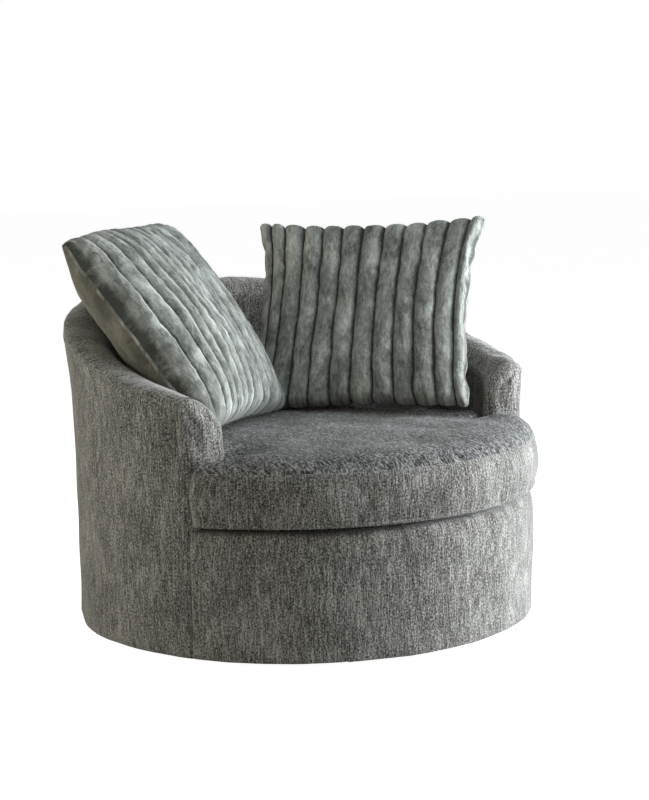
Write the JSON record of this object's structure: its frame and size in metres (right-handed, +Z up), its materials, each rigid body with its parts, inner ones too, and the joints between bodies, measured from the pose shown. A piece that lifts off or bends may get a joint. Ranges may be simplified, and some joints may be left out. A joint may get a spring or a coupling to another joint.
{
  "type": "swivel chair",
  "caption": "Round barrel swivel chair with a sloping rolled rim, a loose T-shaped seat cushion, two loose channelled pillows and a plate swivel hidden inside the base.",
  "frame": {"origin": "on the floor at the middle of the footprint, on the swivel axis", "axes": "+Z up along the swivel axis, -Y out of the chair's front, +X to the right of someone who looks at the front"},
  "size_m": [1.2355, 1.2232, 1.0118],
  "materials": {
    "chenille": "mottled warm grey chenille with fine upright streaks",
    "cushion_chenille": "mottled grey chenille, streaks run front to back",
    "plush": "silver grey channelled faux fur, olive grey short pile at the back",
    "plywood": "raw plywood",
    "frame_wood": "raw hardwood",
    "zinc_steel": "zinc plated",
    "black_steel": "black enamel",
    "spring_steel": "oiled spring steel",
    "nylon": "matt black nylon",
    "wadding": "white polyester wadding",
    "dust_cloth": "thin black non-woven cloth"
  },
  "bodies": {
    "base": {"base_board": "plywood", "glide_1": "nylon", "glide_2": "nylon", "glide_3": "nylon", "glide_4": "nylon", "glide_5": "nylon", "glide_6": "nylon", "swivel_lower_plate": "black_steel", "lower_bolt_1": "zinc_steel", "lower_bolt_2": "zinc_steel", "lower_bolt_3": "zinc_steel", "lower_bolt_4": "zinc_steel"},
    "ball_ring": {"ball_cage": "nylon", "ball_1": "zinc_steel", "ball_2": "zinc_steel", "ball_3": "zinc_steel", "ball_4": "zinc_steel", "ball_5": "zinc_steel", "ball_6": "zinc_steel"},
    "chair": {"swivel_upper_plate": "black_steel", "upper_bolt_1": "zinc_steel", "upper_bolt_2": "zinc_steel", "upper_bolt_3": "zinc_steel", "upper_bolt_4": "zinc_steel", "frame_floor": "plywood", "hem_rail": "plywood", "dust_cover": "dust_cloth", "seat_ring": "plywood", "front_rail": "plywood", "top_rail": "plywood", "arm_post_left": "frame_wood", "arm_post_right": "frame_wood", "front_post_left": "frame_wood", "front_post_right": "frame_wood", "back_post_1": "frame_wood", "back_post_2": "frame_wood", "back_post_3": "frame_wood", "back_post_4": "frame_wood", "back_post_5": "frame_wood", "back_post_6": "frame_wood", "back_post_7": "frame_wood", "spring_1": "spring_steel", "spring_2": "spring_steel", "spring_3": "spring_steel", "spring_4": "spring_steel", "clip_rail_front": "zinc_steel", "clip_rail_back": "zinc_steel", "deck_pad": "wadding", "outer_cover": "chenille", "rim_roll_right": "chenille", "rim_roll_back": "chenille", "rim_roll_left": "chenille", "inner_pad": "chenille", "arm_front_left": "chenille", "arm_front_right": "chenille", "front_band": "chenille"},
    "cushion": {"seat_cushion": "cushion_chenille"},
    "left_pillow": {"pillow_left": "plush"},
    "right_pillow": {"pillow_right": "plush"}
  },
  "joints": [
    {"name": "chair_swivel", "type": "hinge", "parent": "base", "child": "chair", "pos_m": [0, 0, 0.03], "axis": [0, 0, 1], "continuous": true},
    {"name": "ball_ring_turn", "type": "hinge", "parent": "base", "child": "ball_ring", "pos_m": [0, 0, 0.03], "axis": [0, 0, 1], "continuous": true},
    {"name": "cushion_lift", "type": "slide", "parent": "chair", "child": "cushion", "axis": [0, 0, 1], "range_m": [0, 0.4]},
    {"name": "pillow_left_lift", "type": "slide", "parent": "cushion", "child": "left_pillow", "axis": [0, 0, 1], "range_m": [0, 0.4]},
    {"name": "pillow_right_lift", "type": "slide", "parent": "cushion", "child": "right_pillow", "axis": [0, 0, 1], "range_m": [0, 0.4]}
  ],
  "couplings": [
    {"joint": "ball_ring_turn", "follows": "chair_swivel", "ratio": 0.5}
  ]
}
